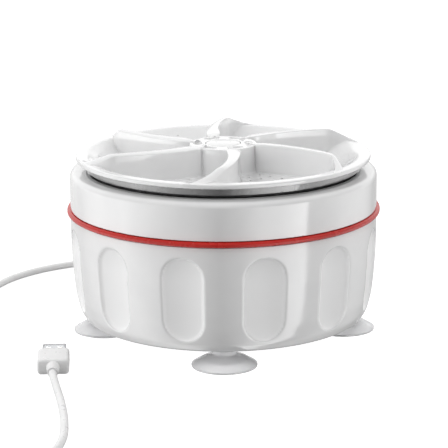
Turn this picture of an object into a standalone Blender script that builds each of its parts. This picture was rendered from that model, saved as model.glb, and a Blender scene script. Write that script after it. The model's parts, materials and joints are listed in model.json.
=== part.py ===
"""Portable mini washer: a six-bladed impeller on a short round housing that stands on suction feet.

Run with: blender --background --python part.py
Metres, +Z up. z = 0 is the surface the feet stand on, and Z is the axis that the impeller turns about.
"""

import math

import bmesh
import bpy
from mathutils import Matrix, Vector

# Driving dimensions
BODY_RADIUS = 0.080
LIP_RADIUS = 0.0702
SEAM_HEIGHT = 0.0673
SHOULDER_HEIGHT = 0.088
BOTTOM_HEIGHT = 0.0095
DECK_LOW, DECK_HIGH = 0.074, 0.0765
GAP = 0.0003

FLUTES = 12
FLUTE_LOW, FLUTE_HIGH = 0.016, 0.060
FLUTE_WIDTH = 0.0225
FLUTE_DEPTH = 0.0024

BLADES = 6
RIM_RADIUS = 0.0767
RIM_TOP, RIM_UNDER = 0.096, 0.0936
POCKET_HEIGHT = 0.087
POCKET_RADIUS = 0.059
CONE_RADIUS = 0.071
RIDGE_HEIGHT = 0.102
CORNER_RADIUS = 0.065
RIDGE_END_RADIUS = 0.075
HUB_RADIUS, HUB_HEIGHT = 0.0175, 0.100
UNDERSIDE_HEIGHT = 0.0848
CAP_RECESS_RADIUS, CAP_RECESS_HEIGHT = 0.0093, 0.090

FOOT_RING_RADIUS = 0.063
FOOT_RADIUS = 0.0166
PLATE_LOW, PLATE_HIGH = 0.0099, 0.0124
PLATE_RADIUS = 0.0686
PLATE_SCREW_RADIUS = 0.0645

MODULE = 0.001
WHEEL_TEETH, PINION_TEETH = 36, 12
GEAR_DISTANCE = MODULE * (WHEEL_TEETH + PINION_TEETH) / 2
IDLER_XY = (GEAR_DISTANCE, 0.0)
MOTOR_XY = (GEAR_DISTANCE, GEAR_DISTANCE)
SHAFT_RADIUS = 0.003
AXLE_RADIUS = 0.0015
MOTOR_SHAFT_RADIUS = 0.00115
CAN_RADIUS = 0.0122
HOUSING_LOW, HOUSING_FLOOR, HOUSING_HIGH = 0.050, 0.0525, 0.0737
HOUSING_RADIUS = 0.048
HOUSING_LUG_RADIUS = 0.0524
LUG_LOW = 0.0637
LUG_ANGLES = (60, 180, 300)

GLAND_HEIGHT = 0.022
GLAND_END = 0.096
CORD_RADIUS = 0.002
CORD_FLOOR = CORD_RADIUS + 0.00005
CORD_SPACING = 0.0105
COIL_CENTRE = (-0.024, 0.113)
COIL_MIDDLE_RADIUS = 0.024
COIL_HALF_WIDTH, COIL_HIGH = 0.0043, 0.0123
PLUG_START = Vector((-0.0845, -0.086, 0.004))
PLUG_TURN = math.radians(3)

# The cord's route where it isn't coiled, chosen by hand.
ROUTE_TO_COIL = [
    (0.0, 0.0963, 0.0220),
    (0.0004, 0.1035, 0.0212),
    (-0.0006, 0.1125, 0.0186),
    (-0.0034, 0.1210, 0.0160),
    (-0.0078, 0.1280, 0.0148),
    (-0.0130, 0.1320, 0.0147),
]
ROUTE_TO_PLUG = [
    (-0.0423, 0.1375, CORD_FLOOR),
    (-0.0600, 0.1355, CORD_FLOOR),
    (-0.0840, 0.1280, CORD_FLOOR),
    (-0.1060, 0.1140, CORD_FLOOR),
    (-0.1230, 0.0930, CORD_FLOOR),
    (-0.1335, 0.0630, CORD_FLOOR),
    (-0.1375, 0.0250, CORD_FLOOR),
    (-0.1370, -0.0150, CORD_FLOOR),
    (-0.1345, -0.0600, CORD_FLOOR),
    (-0.1310, -0.1050, CORD_FLOOR),
    (-0.1275, -0.1500, CORD_FLOOR),
    (-0.1240, -0.1810, CORD_FLOOR),
    (-0.1150, -0.2020, CORD_FLOOR),
    (-0.1000, -0.2120, CORD_FLOOR),
    (-0.0850, -0.2070, CORD_FLOOR),
    (-0.0760, -0.1930, CORD_FLOOR),
    (-0.0730, -0.1740, CORD_FLOOR),
    (-0.0742, -0.1500, CORD_FLOOR),
    (-0.0775, -0.1250, CORD_FLOOR),
    (-0.0812, -0.1050, 0.0029),
    (-0.0841, -0.0895, 0.0039),
    (-0.08448, -0.0863, 0.0040),
]


# Materials

FINISHES = {
    "white_gloss": ((0.84, 0.84, 0.85), 0.16, 0.0),
    "white_satin": ((0.86, 0.86, 0.87), 0.32, 0.0),
    "red_trim": ((0.70, 0.045, 0.02), 0.2, 0.0),
    "dark_trim": ((0.055, 0.055, 0.06), 0.18, 0.0),
    "soft_clear": ((0.86, 0.88, 0.90), 0.25, 0.0),
    "black_rubber": ((0.03, 0.03, 0.03), 0.6, 0.0),
    "grey_plastic": ((0.45, 0.46, 0.48), 0.45, 0.0),
    "gear_plastic": ((0.80, 0.78, 0.70), 0.4, 0.0),
    "steel": ((0.72, 0.72, 0.74), 0.25, 1.0),
    "bronze": ((0.60, 0.42, 0.22), 0.35, 1.0),
    "copper": ((0.72, 0.36, 0.20), 0.35, 1.0),
    "gold": ((0.85, 0.62, 0.22), 0.25, 1.0),
    "magnet": ((0.10, 0.10, 0.11), 0.5, 0.3),
    "board": ((0.03, 0.22, 0.10), 0.4, 0.0),
    "black_plastic": ((0.03, 0.03, 0.035), 0.4, 0.0),
    "white_cord": ((0.88, 0.88, 0.88), 0.4, 0.0),
    "wire_red": ((0.65, 0.05, 0.04), 0.4, 0.0),
}


def finish(name):
    """The material of that name, made the first time it is asked for."""
    if name in bpy.data.materials:
        return bpy.data.materials[name]
    colour, roughness, metallic = FINISHES[name]
    material = bpy.data.materials.new(name)
    material.use_nodes = True
    shader = material.node_tree.nodes["Principled BSDF"]
    shader.inputs["Base Color"].default_value = (*colour, 1.0)
    shader.inputs["Roughness"].default_value = roughness
    shader.inputs["Metallic"].default_value = metallic
    return material


# Mesh helpers


def clear_scene():
    for obj in list(bpy.data.objects):
        bpy.data.objects.remove(obj)


def pivot(name, x, y):
    """An empty on a vertical joint's axis. The pieces that turn about it are its children."""
    empty = bpy.data.objects.new(name, None)
    empty.location = (x, y, 0.0)
    bpy.context.scene.collection.objects.link(empty)
    return empty


def add(name, shape, material, at=(0, 0, 0), parent=None, turn=0.0):
    """A named object from (points, faces), placed by its location and a rotation about Z."""
    points, faces = shape
    mesh = bpy.data.meshes.new(name)
    mesh.from_pydata([tuple(p) for p in points], [], faces)
    edit = bmesh.new()
    edit.from_mesh(mesh)
    bmesh.ops.recalc_face_normals(edit, faces=edit.faces)
    edit.to_mesh(mesh)
    edit.free()
    mesh.shade_smooth()
    mesh.set_sharp_from_angle(angle=math.radians(35))
    mesh.materials.append(finish(material))
    obj = bpy.data.objects.new(name, mesh)
    obj.location = at
    obj.rotation_euler = (0, 0, turn)
    obj.parent = parent
    bpy.context.scene.collection.objects.link(obj)
    return obj


def helper(name, shape, at=(0, 0, 0)):
    """A cutter, or a shape that a union adds to another object. It isn't a piece of its own."""
    obj = add(name, shape, "grey_plastic", at)
    obj.hide_render = True
    obj.display_type = "WIRE"
    return obj


def combine(obj, operation, others, solver="EXACT"):
    for other in others:
        modifier = obj.modifiers.new(other.name, "BOOLEAN")
        modifier.operation = operation
        modifier.solver = solver
        modifier.object = other
    return obj


def around(radius, angle, z=0.0):
    """The point at that radius and that angle in degrees about Z."""
    return (radius * math.cos(math.radians(angle)), radius * math.sin(math.radians(angle)), z)


def swept_rings(rings):
    """Points and faces of rings of equal length, joined in order and from the last back to the first."""
    count = len(rings[0])
    points = [p for ring in rings for p in ring]
    faces = []
    for i in range(len(rings)):
        j = (i + 1) % len(rings)
        for k in range(count):
            n = (k + 1) % count
            faces.append((i * count + k, i * count + n, j * count + n, j * count + k))
    return points, faces


def turned(profile, count):
    """A ring turned about Z from a closed outline of (radius, height)."""
    angles = [360 * k / count for k in range(count)]
    return swept_rings([[around(r, a, z) for a in angles] for r, z in profile])


def turned_solid(profile, count):
    """A solid turned about Z. The profile of (radius, height) begins and ends on the axis."""
    angles = [360 * k / count for k in range(count)]
    inner = profile[1:-1]
    points = [around(r, a, z) for r, z in inner for a in angles]
    points += [(0, 0, profile[0][1]), (0, 0, profile[-1][1])]
    top, bottom = len(points) - 2, len(points) - 1
    last = (len(inner) - 1) * count
    faces = []
    for k in range(count):
        n = (k + 1) % count
        faces.append((k, n, top))
        faces.append((last + n, last + k, bottom))
        for i in range(len(inner) - 1):
            faces.append((i * count + k, i * count + n, (i + 1) * count + n, (i + 1) * count + k))
    return points, faces


def prism(outline, low, high):
    """An outline of (x, y) carried up from one height to another."""
    count = len(outline)
    points = [(x, y, z) for z in (low, high) for x, y in outline]
    faces = [tuple(range(count))[::-1], tuple(range(count, 2 * count))]
    for k in range(count):
        n = (k + 1) % count
        faces.append((k, n, count + n, count + k))
    return points, faces


def cylinder(radius, low, high, count=24, centre=(0, 0)):
    cx, cy = centre
    edge = [around(radius, 360 * k / count) for k in range(count)]
    return prism([(cx + x, cy + y) for x, y, _ in edge], low, high)


def tube(outer, inner, low, high, count=24):
    return turned([(outer, high), (outer, low), (inner, low), (inner, high)], count)


def block(low, high):
    outline = [(low[0], low[1]), (high[0], low[1]), (high[0], high[1]), (low[0], high[1])]
    return prism(outline, low[2], high[2])


def about(shape, matrix):
    points, faces = shape
    return [matrix @ Vector(p) for p in points], faces


def screw(head_radius, head, shank_radius, shank, count=8):
    """A screw whose head is below and whose shank points up. z = 0 is under the head."""
    return turned_solid(
        [(0, shank), (shank_radius, shank - 0.0004), (shank_radius, 0), (head_radius, 0)]
        + [(head_radius, -0.6 * head), (0.6 * head_radius, -head), (0, -head)],
        count,
    )


def upside_down(shape):
    return about(shape, Matrix.Rotation(math.pi, 4, "X"))


def gear_outline(teeth):
    """Straight-flanked teeth with running backlash. A tooth's middle is at angle 0."""
    pitch_radius = MODULE * teeth / 2
    tip, root = pitch_radius + 0.85 * MODULE, pitch_radius - 1.15 * MODULE
    half_tip, half_root = 0.26 * MODULE / tip, 0.86 * MODULE / root
    outline = []
    for k in range(teeth):
        middle = 2 * math.pi * k / teeth
        for radius, angle in ((root, -half_root), (tip, -half_tip), (tip, half_tip), (root, half_root)):
            outline.append((radius * math.cos(middle + angle), radius * math.sin(middle + angle)))
    return outline


# Casings


def upper_casing():
    profile = [
        (LIP_RADIUS, 0.0872), (0.0714, SHOULDER_HEIGHT), (0.0746, SHOULDER_HEIGHT), (0.0789, 0.0850),
        (BODY_RADIUS, 0.0813), (BODY_RADIUS, 0.0690), (0.0759, 0.0690), (0.0759, 0.0637), (0.0745, 0.0637),
        (0.0745, 0.0610), (0.0759, 0.0610), (0.0759, 0.0582), (0.0734, 0.0582), (0.0734, 0.0695),
        (0.0775, 0.0720), (0.0775, 0.0820), (0.0736, 0.0855), (0.0724, 0.0848), (0.0724, 0.0750),
        (0.0714, DECK_LOW), (0.0100, DECK_LOW), (0.0100, 0.0670), (0.0068, 0.0670), (0.0068, 0.0730),
        (0.0052, 0.0730), (0.0052, DECK_LOW), (0.0068, DECK_LOW), (0.0068, 0.0790), (0.0096, 0.0790),
        (0.0106, DECK_HIGH), (LIP_RADIUS, DECK_HIGH),
    ]
    casing = add("upper_casing", turned(profile, 32), "white_gloss")
    bosses, holes = [], []
    for angle in LUG_ANGLES:
        place = around(HOUSING_LUG_RADIUS, angle)[:2]
        bosses.append(helper(f"boss_{angle}", cylinder(0.0038, 0.0670, 0.0745, 12, place)))
        holes.append(helper(f"boss_hole_{angle}", cylinder(0.0018, 0.0660, 0.0752, 8, place)))
    bosses.append(helper("axle_boss", cylinder(0.0040, 0.0663, 0.0745, 12, IDLER_XY)))
    holes.append(helper("axle_boss_hole", cylinder(AXLE_RADIUS + GAP, 0.0660, 0.0722, 8, IDLER_XY)))
    combine(casing, "UNION", bosses)
    combine(casing, "DIFFERENCE", holes)


def flute_depth(angle, z):
    """How deep the scoops are at that angle in degrees and that height: a stadium with a round bottom."""
    sector = 360 / FLUTES
    across = (angle % sector - sector / 2) * math.pi / 180 * BODY_RADIUS
    half = FLUTE_WIDTH / 2
    along = max(FLUTE_LOW + half - z, z - FLUTE_HIGH + half, 0)
    share = 1 - (across**2 + along**2) / half**2
    return FLUTE_DEPTH * min(1, 1.25 * math.sqrt(share)) if share > 0 else 0.0


def lower_casing():
    outer = [
        (BODY_RADIUS, 0.0656), (BODY_RADIUS, 0.0600), (BODY_RADIUS, 0.0550), (0.0798, 0.0440),
        (0.0788, 0.0320), (0.0777, 0.0220), (0.0764, 0.0165), (0.0745, 0.0112), (0.0714, BOTTOM_HEIGHT),
    ]
    inner = [
        (0.0689, BOTTOM_HEIGHT), (0.0689, 0.0127), (0.0676, 0.0127), (0.0676, 0.0155), (0.0710, 0.0160),
        (0.0728, 0.0240), (0.0748, 0.0400), (0.0752, 0.0572), (0.0763, 0.0577), (0.0763, 0.0656),
    ]
    count = 5 * FLUTES
    angles = [360 * (k + 0.5) / count for k in range(count)]
    rings = [[around(r - flute_depth(a, z), a, z) for a in angles] for r, z in outer]
    rings += [[around(r, a, z) for a in angles] for r, z in inner]
    casing = add("lower_casing", swept_rings(rings), "white_gloss")
    bosses, holes = [], []
    for angle in (45, 135, 225, 315):
        place = around(PLATE_SCREW_RADIUS, angle)[:2]
        bosses.append(helper(f"plate_boss_{angle}", cylinder(0.0055, 0.0127, 0.0260, 12, place)))
        holes.append(helper(f"plate_boss_hole_{angle}", cylinder(0.0018, 0.0100, 0.0235, 8, place)))
    along_y = Matrix.Translation((0, 0, GLAND_HEIGHT)) @ Matrix.Rotation(-math.pi / 2, 4, "X")
    holes.append(helper("gland_hole", about(cylinder(0.0038, 0.060, 0.090, 16), along_y)))
    combine(casing, "UNION", bosses)
    combine(casing, "DIFFERENCE", holes)


def red_ring():
    """A half-round bead that stands out of the seam between the casings."""
    low, high = SEAM_HEIGHT - 0.0014, SEAM_HEIGHT + 0.0014
    profile = [
        (0.0763, high), (0.0806, high), (0.0817, SEAM_HEIGHT + 0.0007), (0.0817, SEAM_HEIGHT - 0.0007),
        (0.0806, low), (0.0763, low),
    ]
    add("red_trim_ring", turned(profile, 48), "red_trim")


def casing_seal():
    profile = [
        (0.0760, 0.0629), (0.0760, 0.0617), (0.0753, 0.0613), (0.0748, 0.0617), (0.0748, 0.0629),
        (0.0753, 0.0633),
    ]
    add("casing_seal", turned(profile, 32), "black_rubber")


def base_plate():
    plate = add("base_plate", cylinder(PLATE_RADIUS, PLATE_LOW, PLATE_HIGH, 36), "white_satin")
    holes = []
    for k in range(4):
        foot, fixing = around(FOOT_RING_RADIUS, 90 * k)[:2], around(PLATE_SCREW_RADIUS, 45 + 90 * k)[:2]
        holes.append(helper(f"foot_hole_{k}", cylinder(0.0036, 0.009, 0.014, 12, foot)))
        holes.append(helper(f"plate_hole_{k}", cylinder(0.0019, 0.009, 0.014, 8, fixing)))
    posts = [
        helper(f"board_post_{k}", cylinder(0.0025, 0.0120, 0.0163, 8, place))
        for k, place in enumerate(((-0.045, -0.015), (-0.045, 0.015), (-0.011, -0.015), (-0.011, 0.015)))
    ]
    combine(plate, "UNION", posts)
    combine(plate, "DIFFERENCE", holes)
    for k in range(4):
        place = around(PLATE_SCREW_RADIUS, 45 + 90 * k, PLATE_LOW - GAP)
        add(f"base_screw_{k + 1}", screw(0.0030, 0.0018, 0.0014, 0.0120), "steel", place)


def feet():
    """Suction cups. A neck goes through the base plate, and a knob above it holds the foot."""
    profile = [
        (0, 0.0165), (0.0025, 0.0165), (0.0042, 0.0150), (0.0042, 0.0128), (0.0032, 0.0128), (0.0032, 0.0093),
        (0.0058, 0.0088), (0.0062, 0.0064), (0.0115, 0.0042), (FOOT_RADIUS, 0.0009), (FOOT_RADIUS, 0),
        (FOOT_RADIUS - 0.0015, 0), (0.0100, 0.0024), (0, 0.0036),
    ]
    for k, side in enumerate(("right", "back", "left", "front")):
        add(f"suction_foot_{side}", turned_solid(profile, 16), "soft_clear", around(FOOT_RING_RADIUS, 90 * k))


# Impeller


def ridge_angle(radius):
    """How far, in degrees, a blade's middle line is turned from its corner's direction at that radius."""
    beyond = (radius - 0.062) * 1000
    return -0.33 * beyond - (0.035 * beyond**2 if beyond > 0 else 0)


def ridge_width(radius):
    """A blade's width at its top: narrow at the hub, broad over its middle, then narrower at its corner."""
    if radius < 0.042:
        return 0.0026 + 0.0044 * (radius - 0.0175) / 0.0245
    if radius < CORNER_RADIUS:
        return 0.0070 - 0.0020 * (radius - 0.042) / 0.023
    return 0.0050 + 0.0020 * (radius - CORNER_RADIUS) / 0.010


def impeller_ring(radius, floor, ridge):
    """One ring of the impeller's top. Each sector holds a blade's two feet and two edges, then its pocket."""
    sector = 360 / BLADES
    ring = []
    for k in range(BLADES):
        middle = 30 + sector * k + ridge_angle(radius)
        half = math.degrees(ridge_width(radius) / 2 / radius)
        foot = half + math.degrees(0.0008 / radius)
        ring += [around(radius, middle - foot, floor), around(radius, middle - half, ridge)]
        ring += [around(radius, middle + half, ridge), around(radius, middle + foot, floor)]
        for share in (0.25, 0.5, 0.75):
            ring.append(around(radius, middle + foot + share * (sector - 2 * foot), floor))
    return ring


def impeller():
    def at(radius, floor, ridge=None):
        return impeller_ring(radius, floor, ridge or floor)

    rings = [
        at(CAP_RECESS_RADIUS, HUB_HEIGHT),
        at(0.0165, HUB_HEIGHT, 0.1012),
        at(HUB_RADIUS, HUB_HEIGHT, 0.1016),
        at(0.0183, POCKET_HEIGHT, 0.1017),
        at(0.030, POCKET_HEIGHT, RIDGE_HEIGHT),
        at(0.042, POCKET_HEIGHT, RIDGE_HEIGHT),
        at(0.052, POCKET_HEIGHT, RIDGE_HEIGHT),
        at(POCKET_RADIUS, POCKET_HEIGHT, RIDGE_HEIGHT),
        at(CORNER_RADIUS, 0.0913, 0.1018),
        at(CONE_RADIUS, 0.0955, 0.0984),
        at(RIDGE_END_RADIUS, RIM_TOP),
        at(RIM_RADIUS, RIM_TOP - 0.0003),
        at(RIM_RADIUS, RIM_UNDER + 0.0003),
        at(0.0762, RIM_UNDER),
        at(0.0699, RIM_UNDER),
        at(0.0696, 0.0921),
        at(0.0605, UNDERSIDE_HEIGHT),
        at(0.030, UNDERSIDE_HEIGHT),
        at(0.0085, UNDERSIDE_HEIGHT),
        at(0.0085, 0.0802),
        at(SHAFT_RADIUS + GAP, 0.0802),
        at(SHAFT_RADIUS + GAP, CAP_RECESS_HEIGHT),
        at(CAP_RECESS_RADIUS, CAP_RECESS_HEIGHT),
    ]
    return swept_rings(rings)


def impeller_body(axis):
    add("impeller", impeller(), "white_gloss", parent=axis)
    skirt = [
        (0.0670, 0.0840), (0.0693, 0.0840), (0.0697, 0.0895), (0.0716, 0.0932), (0.0703, 0.0932),
        (0.0697, 0.0915), (0.0670, 0.0894),
    ]
    add("impeller_skirt", turned(skirt, 36), "dark_trim", parent=axis)
    cap = [(0, 0.1012), (0.0050, 0.1010), (0.0084, 0.1002), (0.0090, 0.0990), (0.0090, 0.0945), (0, 0.0945)]
    add("hub_cap", turned_solid(cap, 24), "white_gloss", parent=axis)
    fixing = upside_down(screw(0.0048, 0.0034, 0.0013, 0.0070, 10))
    add("impeller_screw", fixing, "steel", (0, 0, CAP_RECESS_HEIGHT + GAP), axis)
    shaft = add("drive_shaft", cylinder(SHAFT_RADIUS, 0.0513, 0.0899, 12), "steel", parent=axis)
    threaded = helper("shaft_thread_hole", cylinder(0.0016, 0.0820, 0.0910, 8))
    combine(shaft, "DIFFERENCE", [threaded])
    gear = add("output_gear", prism(gear_outline(WHEEL_TEETH), 0.0598, 0.0645), "gear_plastic", parent=axis)
    hub = helper("output_gear_hub", cylinder(0.0065, 0.0594, 0.0664, 16))
    bore = helper("output_gear_bore", cylinder(SHAFT_RADIUS + GAP, 0.055, 0.070, 12))
    combine(gear, "UNION", [hub])
    combine(gear, "DIFFERENCE", [bore])


# Gear train and motor


def gearbox():
    housing = add("gearbox_housing", cylinder(HOUSING_RADIUS, HOUSING_LOW, HOUSING_HIGH, 28), "grey_plastic")
    bearing_boss = helper("lower_bearing_boss", cylinder(0.0090, 0.0485, HOUSING_LOW + 0.001, 16))
    hollow = helper("housing_hollow", cylinder(HOUSING_RADIUS - 0.002, HOUSING_FLOOR, 0.080, 28))
    seat = helper("lower_bearing_seat", cylinder(0.0068, 0.0500, 0.060, 16))
    below = helper("lower_bearing_way", cylinder(0.0045, 0.045, 0.060, 12))
    holes = [
        helper("axle_hole", cylinder(AXLE_RADIUS + GAP, 0.045, 0.060, 8, IDLER_XY)),
        helper("motor_shaft_hole", cylinder(0.0035, 0.045, 0.060, 12, MOTOR_XY)),
    ]
    for side in (-1, 1):
        place = (MOTOR_XY[0] + side * 0.0085, MOTOR_XY[1])
        holes.append(helper(f"motor_screw_hole_{side}", cylinder(0.0013, 0.045, 0.060, 8, place)))
    lugs = []
    for k, angle in enumerate(LUG_ANGLES):
        x, y, _ = around(HOUSING_LUG_RADIUS, angle)
        lugs.append(helper(f"lug_{k}", cylinder(0.0052, LUG_LOW, LUG_LOW + 0.003, 12, (x, y))))
        holes.append(helper(f"lug_hole_{k}", cylinder(0.0017, 0.062, 0.068, 8, (x, y))))
        fixing = screw(0.0028, 0.0018, 0.0014, 0.0105)
        add(f"gearbox_screw_{k + 1}", fixing, "steel", (x, y, LUG_LOW - GAP))
    combine(housing, "UNION", [*lugs, bearing_boss])
    combine(housing, "DIFFERENCE", [hollow, seat, below, *holes])
    add("lower_bearing", tube(0.0065, SHAFT_RADIUS + GAP, 0.0503, 0.0539, 16), "bronze")
    add("upper_bearing", tube(0.0065, SHAFT_RADIUS + GAP, 0.0675, 0.0727, 16), "bronze")
    seal = [
        (0.0065, 0.0743), (0.0065, 0.0780), (0.0040, 0.0780), (SHAFT_RADIUS + GAP, 0.0772),
        (SHAFT_RADIUS + GAP, 0.0760), (0.0042, 0.0743),
    ]
    add("shaft_seal", turned(seal, 16), "black_rubber")
    add("idler_axle", cylinder(AXLE_RADIUS, 0.0503, 0.0720, 8), "steel", (*IDLER_XY, 0))


def idler_body(axis):
    """The compound gear. Both halves have a gap where the gear they mesh with has a tooth."""
    gear = add("idler_gear", prism(gear_outline(WHEEL_TEETH), 0.0542, 0.0590), "gear_plastic", parent=axis)
    gear.rotation_euler.z = math.pi / WHEEL_TEETH
    pinion = helper("idler_pinion", prism(gear_outline(PINION_TEETH), 0.0580, 0.0652), (*IDLER_XY, 0))
    pinion.rotation_euler.z = math.pi / PINION_TEETH
    bore = helper("idler_bore", cylinder(AXLE_RADIUS + GAP, 0.050, 0.070, 8), (*IDLER_XY, 0))
    combine(gear, "UNION", [pinion])
    combine(gear, "DIFFERENCE", [bore])


def magnet(middle):
    """An arc of magnet inside the can, centred on that angle in degrees."""
    angles = [middle - 60 + 120 * k / 8 for k in range(9)]
    outline = [around(CAN_RADIUS - 0.0013, a)[:2] for a in angles]
    outline += [around(0.0090, a)[:2] for a in reversed(angles)]
    return prism(outline, 0.0255, 0.0465)


def motor():
    x, y = MOTOR_XY
    can_profile = [
        (0.0036, 0.0497), (CAN_RADIUS, 0.0497), (CAN_RADIUS, 0.0213), (CAN_RADIUS - 0.001, 0.0213),
        (CAN_RADIUS - 0.001, 0.0487), (0.0036, 0.0487),
    ]
    can = add("motor_can", turned(can_profile, 24), "steel", (x, y, 0))
    threads = []
    for side in (-1, 1):
        place = (x + side * 0.0085, y)
        threads.append(helper(f"motor_thread_{side}", cylinder(0.0013, 0.048, 0.051, 8, place)))
        fixing = upside_down(screw(0.0019, 0.0011, 0.0010, 0.0040))
        add(f"motor_screw_{(side + 3) // 2}", fixing, "steel", (*place, HOUSING_FLOOR + GAP))
    combine(can, "DIFFERENCE", threads, "MANIFOLD")
    for k, middle in enumerate((0, 180)):
        add(f"motor_magnet_{k + 1}", magnet(middle), "magnet", (x, y, 0))
    cap = [(0, 0.0210), (CAN_RADIUS, 0.0210), (CAN_RADIUS, 0.0185), (0.0060, 0.0175), (0, 0.0175)]
    add("motor_end_cap", turned_solid(cap, 24), "black_plastic", (x, y, 0))


def motor_body(axis):
    rotor = [
        (MOTOR_SHAFT_RADIUS + GAP, 0.0440), (0.0080, 0.0440), (0.0084, 0.0420), (0.0084, 0.0300),
        (0.0060, 0.0285), (0.0035, 0.0285), (0.0035, 0.0230), (MOTOR_SHAFT_RADIUS + GAP, 0.0230),
    ]
    add("motor_rotor", turned(rotor, 16), "copper", parent=axis)
    add("motor_shaft", cylinder(MOTOR_SHAFT_RADIUS, 0.0214, 0.0594, 10), "steel", parent=axis)
    pinion = add("motor_pinion", prism(gear_outline(PINION_TEETH), 0.0543, 0.0589), "bronze", parent=axis)
    bore = helper("motor_pinion_bore", cylinder(MOTOR_SHAFT_RADIUS + GAP, 0.050, 0.065, 10), (*MOTOR_XY, 0))
    combine(pinion, "DIFFERENCE", [bore])


# Electronics


def electronics():
    add("control_board", block((-0.048, -0.019, 0.0166), (-0.008, 0.019, 0.0182)), "board")
    add("driver_chip", block((-0.034, -0.005, 0.0185), (-0.024, 0.003, 0.0207)), "black_plastic")
    can = [(0, 0.0300), (0.0036, 0.0300), (0.0040, 0.0294), (0.0040, 0.0185), (0, 0.0185)]
    add("capacitor", turned_solid(can, 12), "black_plastic", (-0.041, -0.012, 0))
    add("lead_connector", block((-0.026, 0.009, 0.0185), (-0.014, 0.016, 0.0245)), "white_satin")
    power = [(0, 0.0662, 0.022), (-0.001, 0.055, 0.021), (-0.010, 0.035, 0.0215), (-0.018, 0.0165, 0.0215)]
    wire("power_lead", power, 0.0015, "black_rubber")
    for k, (side, material) in enumerate(((-1, "wire_red"), (1, "black_rubber"))):
        y = 0.0105 + 0.004 * (k + 0.5) - 0.001
        start = (-0.0137, y, 0.0215)
        end = (MOTOR_XY[0] + 0.004 * side, MOTOR_XY[1] + 0.002 * side, 0.0171)
        middle = ((start[0] + end[0]) / 2, (start[1] + end[1]) / 2 + 0.002 * side, 0.0150)
        route = [start, (-0.008, y, 0.0195), middle, (end[0], end[1], 0.0150), end]
        wire(f"motor_lead_{k + 1}", route, 0.0007, material)


# Cord


def smooth_path(route, spacing):
    """Points about that far apart on a Catmull-Rom curve through the route."""
    route = [Vector(p) for p in route]
    ends = [2 * route[0] - route[1], *route, 2 * route[-1] - route[-2]]
    fine = []
    for a, b, c, d in zip(ends, ends[1:], ends[2:], ends[3:]):
        for step in range(20):
            t = step / 20
            bend, twist = 2 * a - 5 * b + 4 * c - d, 3 * b - a - 3 * c + d
            fine.append(0.5 * (2 * b + (c - a) * t + bend * t**2 + twist * t**3))
    fine.append(route[-1])
    travelled = [0.0]
    for p, q in zip(fine, fine[1:]):
        travelled.append(travelled[-1] + (q - p).length)
    count = max(2, round(travelled[-1] / spacing))
    points, i = [], 0
    for k in range(count + 1):
        goal = travelled[-1] * k / count
        while i < len(fine) - 2 and travelled[i + 1] < goal:
            i += 1
        share = (goal - travelled[i]) / (travelled[i + 1] - travelled[i])
        points.append(fine[i].lerp(fine[i + 1], share))
    return points


def wire(name, route, radius, material, spacing=0.006, sides=2):
    """A round tube along a route."""
    curve = bpy.data.curves.new(name, "CURVE")
    curve.dimensions = "3D"
    curve.bevel_depth = radius
    curve.bevel_resolution = sides
    curve.use_fill_caps = True
    path = smooth_path(route, spacing)
    spline = curve.splines.new("POLY")
    spline.points.add(len(path) - 1)
    for point, place in zip(spline.points, path):
        point.co = (*place, 1.0)
    curve.materials.append(finish(material))
    obj = bpy.data.objects.new(name, curve)
    bpy.context.scene.collection.objects.link(obj)


def cable_gland():
    """The strain relief: a flange inside the wall, one outside it, and a tapered boot."""
    profile = [
        (0, GLAND_END), (0.0029, GLAND_END), (0.0036, 0.0860), (0.0040, 0.0812), (0.0052, 0.0808),
        (0.0052, 0.0789), (0.0034, 0.0789), (0.0034, 0.0704), (0.0052, 0.0704), (0.0052, 0.0680),
        (0.0030, 0.0666), (0, 0.0666),
    ]
    along_y = Matrix.Rotation(-math.pi / 2, 4, "X")
    add("cable_gland", about(turned_solid(profile, 14), along_y), "white_cord", (0, 0, GLAND_HEIGHT))


def cord():
    wire("cord_to_coil", ROUTE_TO_COIL, CORD_RADIUS, "white_cord", CORD_SPACING)
    wire("cord_to_plug", ROUTE_TO_PLUG, CORD_RADIUS, "white_cord", CORD_SPACING)
    inner, outer = COIL_MIDDLE_RADIUS - COIL_HALF_WIDTH, COIL_MIDDLE_RADIUS + COIL_HALF_WIDTH
    ring = [
        (inner, COIL_HIGH - 0.0012), (inner + 0.0012, COIL_HIGH), (outer - 0.0012, COIL_HIGH),
        (outer, COIL_HIGH - 0.0012), (outer, 0), (inner, 0),
    ]
    add("cord_coil", turned(ring, 28), "white_cord", (*COIL_CENTRE, 0))


def cord_tie():
    """A band round the coil's section, on the coil's left side. It stops at the floor, under the coil."""
    inside, thickness, width = GAP, 0.0008, 0.0045
    low_x = -COIL_MIDDLE_RADIUS - COIL_HALF_WIDTH - inside
    high_x = -COIL_MIDDLE_RADIUS + COIL_HALF_WIDTH + inside + 0.0004
    top = COIL_HIGH + inside
    outline = [
        (low_x - thickness, 0), (low_x, 0), (low_x, top), (high_x, top), (high_x, 0), (high_x + thickness, 0),
        (high_x + thickness, top + thickness), (low_x - thickness, top + thickness),
    ]
    upright = Matrix.Rotation(math.pi / 2, 4, "X")
    add("cord_tie", about(prism(outline, -width / 2, width / 2), upright), "black_rubber", (*COIL_CENTRE, 0))


def rounded_rectangle(width, height, corner, count=3):
    """An outline of (x, z) with round corners."""
    outline = []
    for k, (sx, sz) in enumerate(((1, 1), (-1, 1), (-1, -1), (1, -1))):
        cx, cz = sx * (width / 2 - corner), sz * (height / 2 - corner)
        for step in range(count + 1):
            a = math.radians(90 * k + 90 * step / count)
            outline.append((cx + corner * math.cos(a), cz + corner * math.sin(a)))
    return outline


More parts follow.
